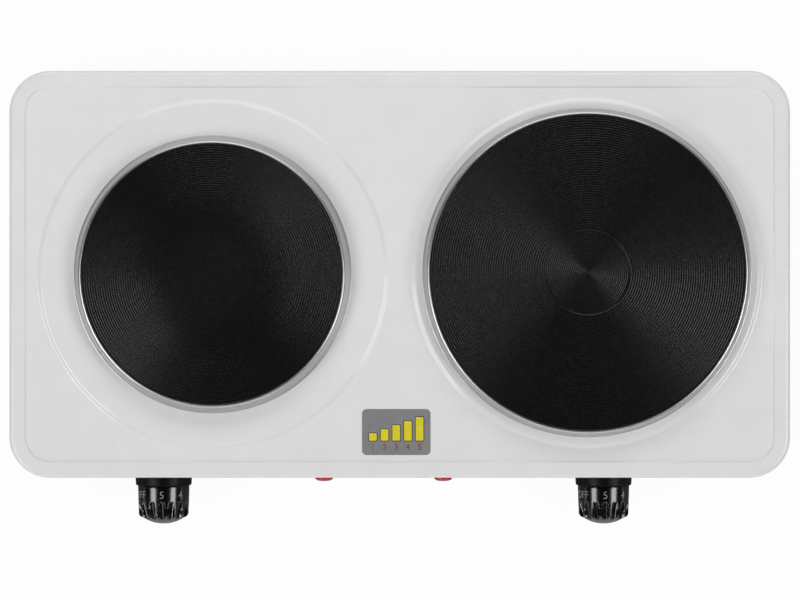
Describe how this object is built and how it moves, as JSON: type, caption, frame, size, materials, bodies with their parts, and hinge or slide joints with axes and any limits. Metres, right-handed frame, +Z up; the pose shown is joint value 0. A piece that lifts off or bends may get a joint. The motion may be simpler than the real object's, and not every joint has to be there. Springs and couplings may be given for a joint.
{
  "type": "hot plate burner",
  "caption": "Table-top electric hot plate with a white enamelled casing, a small and a large round cast iron plate, thermostat knobs and red indicator lamps.",
  "frame": {"origin": "middle of the footprint, knobs and inlet included, at the height of the table", "axes": "+X to the right along the casing, +Y to the rear, +Z up; the knobs are on the -Y side"},
  "size_m": [0.468, 0.2752, 0.071],
  "materials": {
    "enamel": "glossy white vitreous enamel",
    "base_sheet": "dark grey lacquered sheet steel",
    "zinc_screw": "zinc plated",
    "rubber": "matte black rubber",
    "cast_iron": "black coated, turned in concentric grooves",
    "stainless": "satin pressed stainless sheet",
    "element": "oxidised element",
    "insulating_bed": "pressed insulating compound",
    "plated_steel": "zinc plated sheet steel",
    "spring_steel": "spring steel",
    "ceramic": "unglazed steatite",
    "knob_plastic": "glossy black thermoset",
    "bezel_plastic": "matte black thermoset",
    "brass": "turned brass",
    "contact_bronze": "rolled bronze",
    "red_lens": "translucent red",
    "bulb_glass": "clear glass",
    "black_plastic": "black polyamide",
    "terminal_plastic": "white polyamide",
    "aluminium": "mill finish sheet",
    "lead_brown": "brown silicone insulation",
    "lead_white": "white silicone insulation",
    "lead_blue": "blue silicone insulation",
    "lead_yellow": "yellow silicone insulation",
    "lead_green": "green and yellow silicone insulation",
    "sticker": "grey foil sticker with a plain heat level key"
  },
  "bodies": {
    "casing": {"top_shell": "enamel", "base_cover": "base_sheet", "base_screws": "zinc_screw", "front_left_foot": "rubber", "front_right_foot": "rubber", "rear_left_foot": "rubber", "rear_right_foot": "rubber", "foot_screws": "zinc_screw", "small_plate": "cast_iron", "large_plate": "cast_iron", "small_plate_ring": "stainless", "large_plate_ring": "stainless", "small_heating_coil": "element", "large_heating_coil": "element", "small_coil_bed": "insulating_bed", "large_coil_bed": "insulating_bed", "small_coil_cover": "plated_steel", "large_coil_cover": "plated_steel", "small_terminal_block": "ceramic", "large_terminal_block": "ceramic", "small_plate_stud": "zinc_screw", "large_plate_stud": "zinc_screw", "small_clamp_bridge": "plated_steel", "large_clamp_bridge": "plated_steel", "clamp_nuts": "zinc_screw", "left_knob_bezel": "bezel_plastic", "right_knob_bezel": "bezel_plastic", "left_thermostat_bracket": "plated_steel", "right_thermostat_bracket": "plated_steel", "left_thermostat_body": "ceramic", "right_thermostat_body": "ceramic", "left_shaft_bush": "brass", "right_shaft_bush": "brass", "left_contact_blades": "contact_bronze", "right_contact_blades": "contact_bronze", "thermostat_screws": "zinc_screw", "left_lamp_lens": "red_lens", "right_lamp_lens": "red_lens", "left_lamp_bulb": "bulb_glass", "right_lamp_bulb": "bulb_glass", "left_lamp_holder": "black_plastic", "right_lamp_holder": "black_plastic", "lamp_clips": "spring_steel", "cord_gland": "black_plastic", "mains_terminal_block": "terminal_plastic", "terminal_screws": "brass", "earth_screw": "brass", "heat_shield": "aluminium", "live_leads": "lead_brown", "switched_leads": "lead_white", "neutral_leads": "lead_blue", "lamp_leads": "lead_yellow", "earth_lead": "lead_green", "heat_level_label": "sticker"},
    "left_knob": {"left_knob": "knob_plastic", "left_knob_shaft": "plated_steel", "left_knob_clip": "spring_steel"},
    "right_knob": {"right_knob": "knob_plastic", "right_knob_shaft": "plated_steel", "right_knob_clip": "spring_steel"}
  },
  "joints": [
    {"name": "left_knob_turn", "type": "hinge", "parent": "casing", "child": "left_knob", "pos_m": [-0.1435, -0.1084, 0.035], "axis": [0, 1, 0], "range_deg": [-300, 0]},
    {"name": "right_knob_turn", "type": "hinge", "parent": "casing", "child": "right_knob", "pos_m": [0.1239, -0.1084, 0.035], "axis": [0, 1, 0], "range_deg": [-300, 0]}
  ]
}
